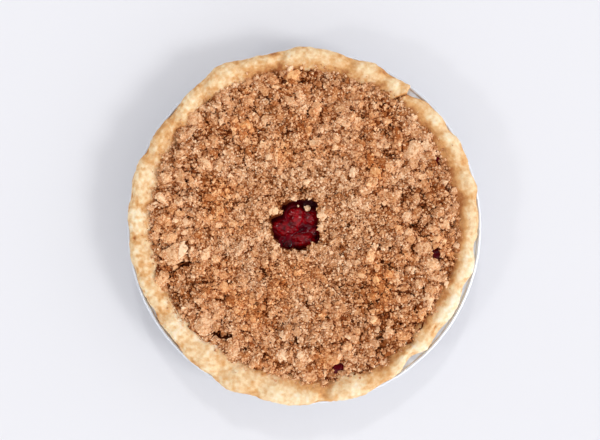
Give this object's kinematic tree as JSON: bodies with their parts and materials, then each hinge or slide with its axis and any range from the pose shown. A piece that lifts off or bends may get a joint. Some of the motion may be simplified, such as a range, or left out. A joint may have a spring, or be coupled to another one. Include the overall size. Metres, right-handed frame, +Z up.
{
  "type": "cherry pie",
  "caption": "Round crumb-topped cherry pie in a shallow sloping foil tin, with a raised pastry edge and cherries showing through a hole in the middle of the topping.",
  "frame": {"origin": "middle of the tin's flat underside, on the surface that the pie stands on", "axes": "+Z up through the pie; +X and +Y lie flat, with the joint of the pastry edge in the +X +Y quarter"},
  "size_m": [0.244, 0.2452, 0.0415],
  "materials": {
    "foil": "pressed aluminium foil, softly creased",
    "pastry": "baked shortcrust pastry, pale gold, dry and matte",
    "filling": "dark red cherry juice gel, wet and glossy",
    "cherry": "cooked red cherries, wet and glossy",
    "crumbs": "sandy baked butter crumbs, tan with toasted patches, matte"
  },
  "bodies": {
    "root": {"tin": "foil", "crust": "pastry", "filling": "filling", "cherry_1": "cherry", "cherry_2": "cherry", "cherry_3": "cherry", "cherry_4": "cherry", "cherry_5": "cherry", "cherry_6": "cherry", "crumb_topping": "crumbs"}
  },
  "joints": []
}
